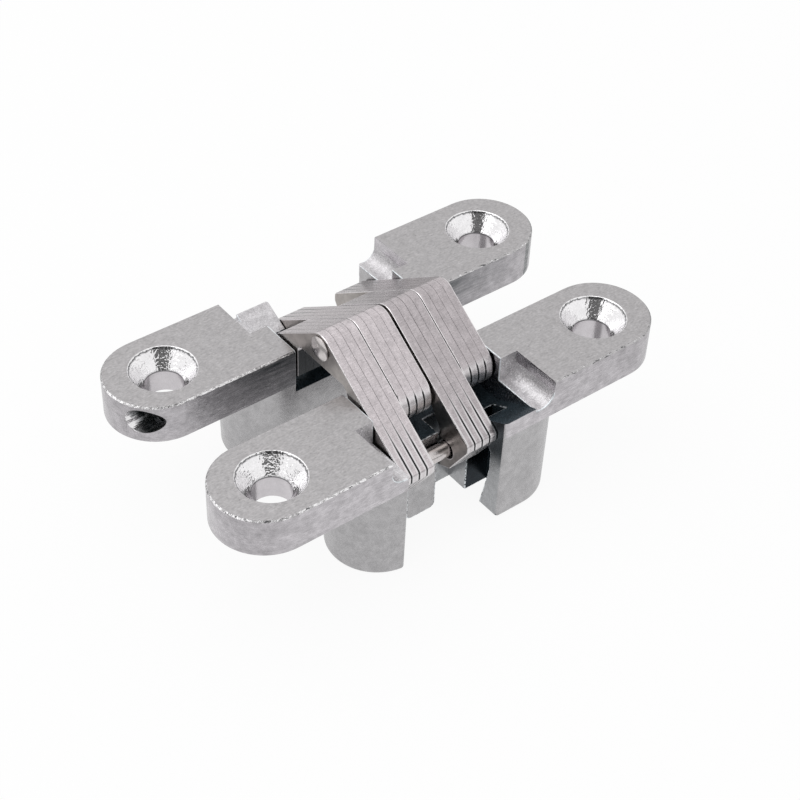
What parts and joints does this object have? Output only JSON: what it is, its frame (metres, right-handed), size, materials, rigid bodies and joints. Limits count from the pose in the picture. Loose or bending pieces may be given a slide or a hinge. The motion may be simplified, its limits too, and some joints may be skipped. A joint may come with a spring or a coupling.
{
  "type": "concealed invisible door hinge",
  "caption": "Concealed door hinge: two round-ended cast leaves with countersunk screw holes, joined by crossed packs of flat steel legs that fold through 180 degrees.",
  "frame": {"origin": "middle of the open hinge, in the plane of both leaf faces, midway between the two leaves", "axes": "+X along the leaves and parallel to every pin, +Y from leaf_a to leaf_b, +Z out of the faces"},
  "size_m": [0.095, 0.0534, 0.0363],
  "materials": {
    "casting": "satin die-cast zinc",
    "links": "satin stamped steel",
    "pins": "plain ground steel"
  },
  "bodies": {
    "leaf_a": {"leaf_a": "casting", "fixed_pin_a": "pins"},
    "legs_b": {"link_5": "links", "link_6": "links", "link_7": "links", "link_8": "links", "link_13": "links", "link_14": "links", "link_15": "links", "link_16": "links", "slide_pin_b": "pins"},
    "legs_a": {"link_1": "links", "link_2": "links", "link_3": "links", "link_4": "links", "link_9": "links", "link_10": "links", "link_11": "links", "link_12": "links", "slide_pin_a": "pins", "centre_pin": "pins"},
    "leaf_b": {"leaf_b": "casting", "fixed_pin_b": "pins"}
  },
  "joints": [
    {"name": "pivot_a", "type": "hinge", "parent": "leaf_a", "child": "legs_b", "pos_m": [0, -0.01042, -0.0034], "axis": [1, 0, 0], "range_deg": [0, 123]},
    {"name": "centre_pivot", "type": "hinge", "parent": "legs_b", "child": "legs_a", "pos_m": [0, 0, 0.0053], "axis": [1, 0, 0], "range_deg": [-66.02, 0]},
    {"name": "pivot_b", "type": "hinge", "parent": "legs_a", "child": "leaf_b", "pos_m": [0, 0.01042, -0.0034], "axis": [1, 0, 0], "range_deg": [0, 123]}
  ],
  "couplings": [
    {"joint": "centre_pivot", "follows": "pivot_a", "ratio": -0.53662},
    {"joint": "pivot_b", "follows": "pivot_a", "ratio": 1}
  ]
}
